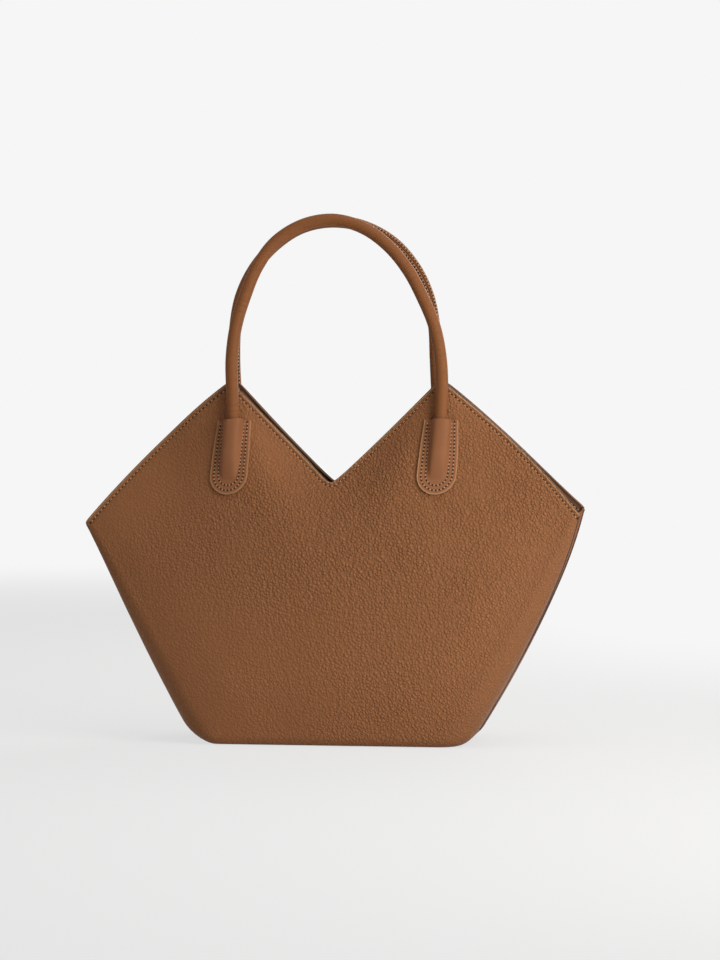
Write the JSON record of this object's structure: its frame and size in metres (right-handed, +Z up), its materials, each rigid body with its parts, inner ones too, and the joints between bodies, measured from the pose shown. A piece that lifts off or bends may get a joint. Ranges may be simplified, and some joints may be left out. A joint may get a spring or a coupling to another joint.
{
  "type": "tote bag",
  "caption": "Open leather tote bag whose mouth rises to two peaks with a dip between them, with two rolled carrying handles on stitched tabs.",
  "frame": {"origin": "middle of the underside of the base", "axes": "+Z up, the front wall faces -Y, and +X is to the right of someone who looks at the front"},
  "size_m": [0.427, 0.1338, 0.4458],
  "materials": {
    "front_panel": "pebbled grain, satin",
    "front_stiffener": "bonded fibre, dull",
    "front_lining": "close woven, dull",
    "front_facing": "smooth, satin",
    "front_left_tab": "pebbled grain with painted edge",
    "front_left_root": "rolled leather, satin",
    "front_right_tab": "pebbled grain with painted edge",
    "front_right_root": "rolled leather, satin",
    "front_handle_cover": "rolled leather, satin",
    "front_handle_core": "twisted cord",
    "back_panel": "pebbled grain, satin",
    "back_stiffener": "bonded fibre, dull",
    "back_lining": "close woven, dull",
    "back_facing": "smooth, satin",
    "back_left_tab": "pebbled grain with painted edge",
    "back_left_root": "rolled leather, satin",
    "back_right_tab": "pebbled grain with painted edge",
    "back_right_root": "rolled leather, satin",
    "back_handle_cover": "rolled leather, satin",
    "back_handle_core": "twisted cord",
    "left_gusset": "pebbled grain, satin",
    "left_gusset_lining": "close woven, dull",
    "right_gusset": "pebbled grain, satin",
    "right_gusset_lining": "close woven, dull",
    "base_panel": "pebbled grain, satin",
    "base_board": "pressed fibre board",
    "base_lining": "close woven, dull"
  },
  "bodies": {
    "bag": {"front_panel": "front_panel", "front_stiffener": "front_stiffener", "front_lining": "front_lining", "front_facing": "front_facing", "front_left_tab": "front_left_tab", "front_left_root": "front_left_root", "front_right_tab": "front_right_tab", "front_right_root": "front_right_root", "back_panel": "back_panel", "back_stiffener": "back_stiffener", "back_lining": "back_lining", "back_facing": "back_facing", "back_left_tab": "back_left_tab", "back_left_root": "back_left_root", "back_right_tab": "back_right_tab", "back_right_root": "back_right_root", "left_gusset": "left_gusset", "left_gusset_lining": "left_gusset_lining", "right_gusset": "right_gusset", "right_gusset_lining": "right_gusset_lining", "base_panel": "base_panel", "base_board": "base_board", "base_lining": "base_lining"},
    "front_handle": {"front_handle_cover": "front_handle_cover", "front_handle_core": "front_handle_core"},
    "back_handle": {"back_handle_cover": "back_handle_cover", "back_handle_core": "back_handle_core"}
  },
  "joints": [
    {"name": "front_handle_fold", "type": "hinge", "parent": "bag", "child": "front_handle", "pos_m": [0, -0.0283, 0.284], "axis": [1, 0, 0], "range_deg": [0, 120], "deforming": ["front_left_root", "front_right_root"]},
    {"name": "back_handle_fold", "type": "hinge", "parent": "bag", "child": "back_handle", "pos_m": [0, 0.0289, 0.284], "axis": [-1, 0, 0], "range_deg": [0, 120], "deforming": ["back_left_root", "back_right_root"]}
  ]
}
